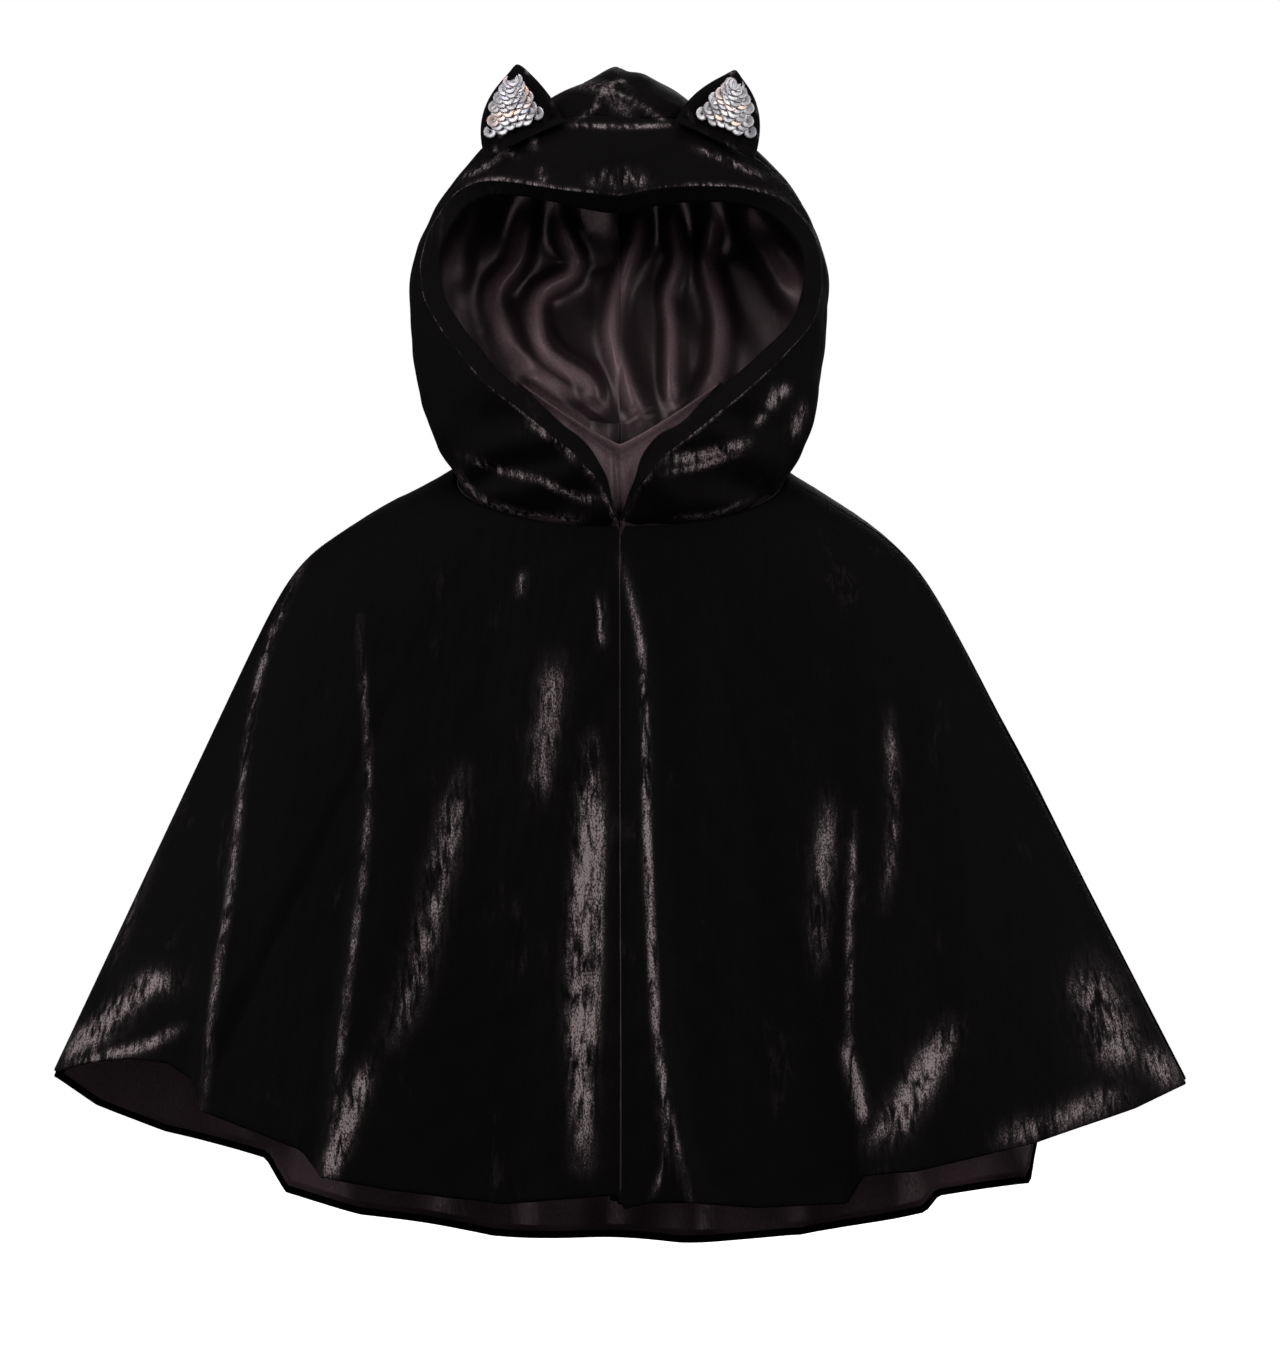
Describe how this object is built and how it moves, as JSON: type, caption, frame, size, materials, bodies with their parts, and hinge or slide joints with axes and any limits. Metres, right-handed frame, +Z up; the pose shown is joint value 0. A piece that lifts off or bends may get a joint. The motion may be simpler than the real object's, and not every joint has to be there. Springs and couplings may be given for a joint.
{
  "type": "hooded cape",
  "caption": "Child's short black velvet hooded cape with satin lining, centre-front opening and two padded cat ears filled with sequins.",
  "frame": {"origin": "centre of the neck seam, where the hood joins the cape", "axes": "+Z up along the wearer, -Y the way the wearer faces, +X the wearer's left"},
  "size_m": [0.724, 0.232, 0.7517],
  "materials": {
    "velvet": "matte",
    "satin_lining": "satin",
    "hood_velvet": "matte",
    "tape": "matte",
    "label": "satin",
    "wadding": "matte",
    "sequin_net": "matte",
    "sequin": "gloss",
    "hook_wire": "satin"
  },
  "bodies": {
    "cape": {"velvet_front_side_left": "velvet", "velvet_front_side_right": "velvet", "velvet_back": "velvet", "lining_front_side_left": "satin_lining", "lining_front_side_right": "satin_lining", "lining_back": "satin_lining", "neck_stay_tape": "tape", "care_label": "label", "closure_hook": "hook_wire", "closure_eye": "hook_wire"},
    "front_left": {"velvet_front_flap_left": "velvet", "lining_front_flap_left": "satin_lining"},
    "front_right": {"velvet_front_flap_right": "velvet", "lining_front_flap_right": "satin_lining"},
    "hood": {"hood_front_band": "hood_velvet", "hood_crown_left": "hood_velvet", "hood_crown_right": "hood_velvet", "hood_lining_left": "satin_lining", "hood_lining_right": "satin_lining"},
    "ear_left": {"ear_front_cover_left": "hood_velvet", "ear_back_cover_left": "hood_velvet", "ear_wadding_left": "wadding", "ear_sequin_patch_left": "sequin_net", "ear_sequins_left": "sequin"},
    "ear_right": {"ear_front_cover_right": "hood_velvet", "ear_back_cover_right": "hood_velvet", "ear_wadding_right": "wadding", "ear_sequin_patch_right": "sequin_net", "ear_sequins_right": "sequin"}
  },
  "joints": [
    {"name": "hood_fold", "type": "hinge", "parent": "cape", "child": "hood", "pos_m": [0, 0.042, 0.032], "axis": [-1, 0, 0], "range_deg": [0, 80]},
    {"name": "front_left_swing", "type": "hinge", "parent": "cape", "child": "front_left", "pos_m": [0.0525, -0.03637, -0.02685], "axis": [-0.293, 0.1315, 0.947], "range_deg": [0, 75]},
    {"name": "front_right_swing", "type": "hinge", "parent": "cape", "child": "front_right", "pos_m": [-0.0525, -0.03637, -0.02685], "axis": [-0.293, -0.1315, -0.947], "range_deg": [0, 75]},
    {"name": "ear_left_fold", "type": "hinge", "parent": "hood", "child": "ear_left", "pos_m": [0.087, -0.022, 0.206], "axis": [0.8867, 0.2483, -0.3901], "range_deg": [-30, 70], "stiffness_Nm_per_rad": 0.01},
    {"name": "ear_right_fold", "type": "hinge", "parent": "hood", "child": "ear_right", "pos_m": [-0.087, -0.022, 0.206], "axis": [0.8867, -0.2483, 0.3901], "range_deg": [-30, 70], "stiffness_Nm_per_rad": 0.01}
  ]
}
